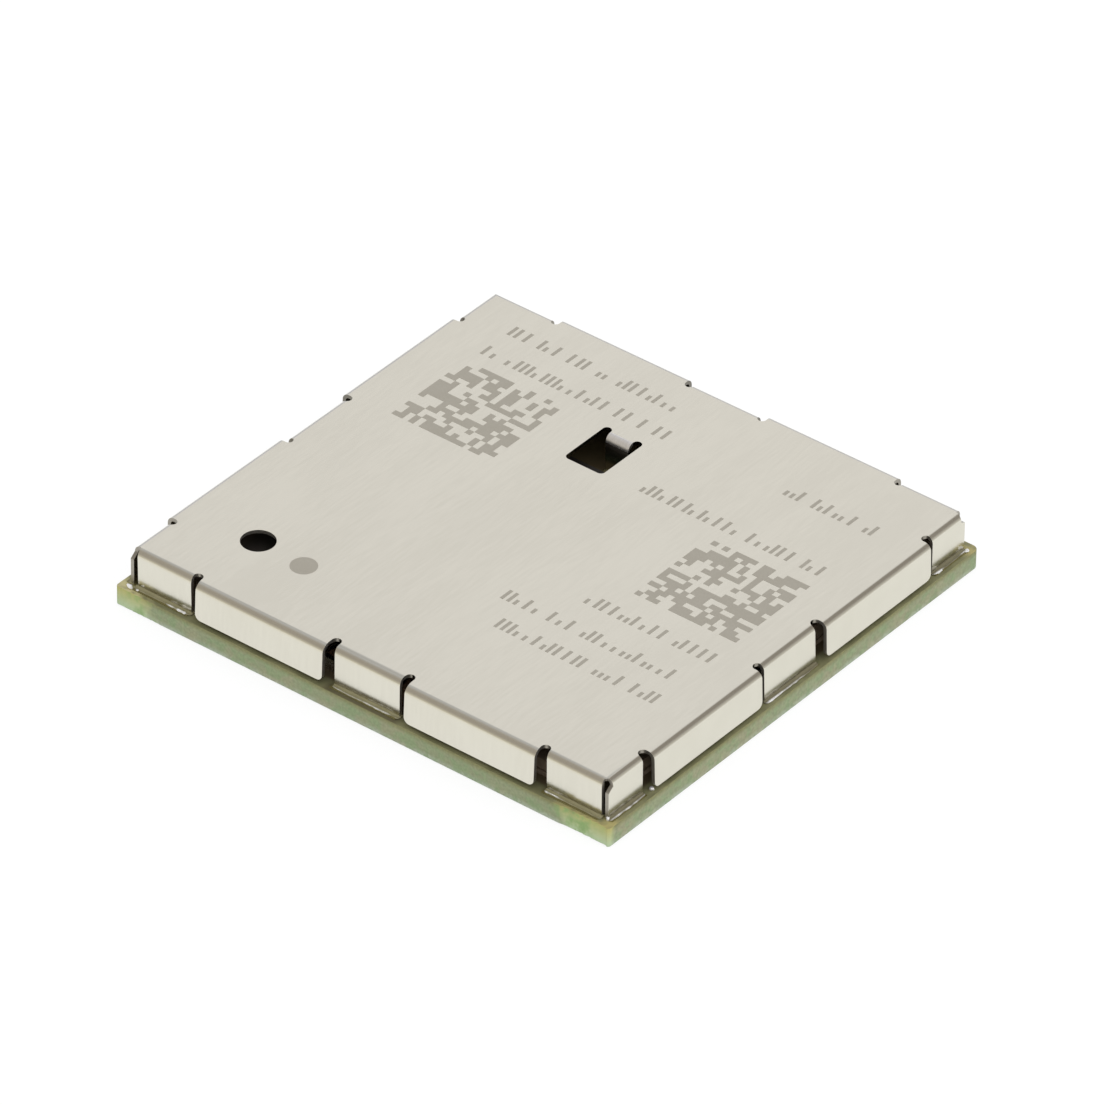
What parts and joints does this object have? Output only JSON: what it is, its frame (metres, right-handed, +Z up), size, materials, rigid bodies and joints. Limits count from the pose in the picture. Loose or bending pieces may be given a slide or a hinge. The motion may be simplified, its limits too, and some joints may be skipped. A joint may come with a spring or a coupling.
{
  "type": "cellular module",
  "caption": "Near-square surface-mount cellular data module: a thin circuit board with solder lands below and radio chips under a folded sheet-metal shield can.",
  "frame": {"origin": "centre of the underside, in the plane of the land faces", "axes": "+X along the longer board edge, +Y towards the lid window's finger, +Z up through the lid"},
  "size_m": [0.023, 0.022, 0.0025],
  "materials": {
    "laminate": "glass-fibre laminate with green solder resist",
    "can_sheet": "satin nickel-silver sheet",
    "solder": "bright reflowed solder",
    "gold_plate": "thin gold over nickel",
    "mould_compound": "matt black moulding",
    "ceramic_can": "ceramic with a metal lid",
    "ferrite": "grey ferrite with tinned ends",
    "capacitor_ceramic": "brown ceramic with tinned ends",
    "resistor_glaze": "black glaze with tinned ends"
  },
  "bodies": {
    "root": {"board": "laminate", "shield_can": "can_sheet", "shield_solder": "solder", "shield_pads": "gold_plate", "signal_lands": "gold_plate", "ground_lands": "gold_plate", "baseband_processor": "mould_compound", "memory_package": "mould_compound", "power_management_chip": "mould_compound", "rf_transceiver": "mould_compound", "high_band_amplifier": "mould_compound", "low_band_amplifier": "mould_compound", "antenna_switch": "mould_compound", "diversity_switch": "mould_compound", "positioning_amplifier": "mould_compound", "duplexers": "ceramic_can", "receive_filters": "ceramic_can", "reference_oscillator": "ceramic_can", "sleep_crystal": "ceramic_can", "buck_inductors": "ferrite", "bulk_capacitors": "capacitor_ceramic", "decoupling_capacitors": "capacitor_ceramic", "matching_inductors": "ferrite", "chip_resistors": "resistor_glaze"}
  },
  "joints": []
}
